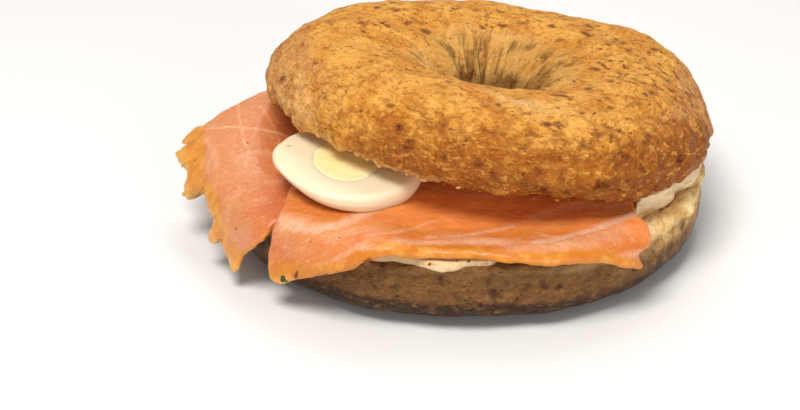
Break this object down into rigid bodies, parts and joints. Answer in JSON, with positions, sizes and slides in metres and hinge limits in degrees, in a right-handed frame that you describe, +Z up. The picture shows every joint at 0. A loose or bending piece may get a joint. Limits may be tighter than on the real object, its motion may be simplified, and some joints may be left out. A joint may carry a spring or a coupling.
{
  "type": "salmon bagel",
  "caption": "Split wholemeal bagel filled with cream cheese, draped slices of smoked salmon and a slice of boiled egg, its upper half tilted on the filling.",
  "frame": {"origin": "middle of the whole bagel's footprint, at the height of its flat underside", "axes": "+Z up, +X to the right, along the longest extent, -Y to the front, where the filling shows"},
  "size_m": [0.1424, 0.1264, 0.049],
  "materials": {
    "bagel_bottom": "baked wholemeal crust, dull",
    "bagel_top": "baked wholemeal crust with bran flecks, slight sheen",
    "cream_cheese": "smooth and moist",
    "salmon_left": "moist, faintly marbled",
    "salmon_front": "moist, faintly marbled",
    "egg_white": "smooth, slightly wet",
    "egg_yolk": "fine crumbly"
  },
  "bodies": {
    "root": {"bagel_bottom": "bagel_bottom", "bagel_top": "bagel_top", "cream_cheese": "cream_cheese", "salmon_left": "salmon_left", "salmon_front": "salmon_front", "egg_white": "egg_white", "egg_yolk": "egg_yolk"}
  },
  "joints": []
}
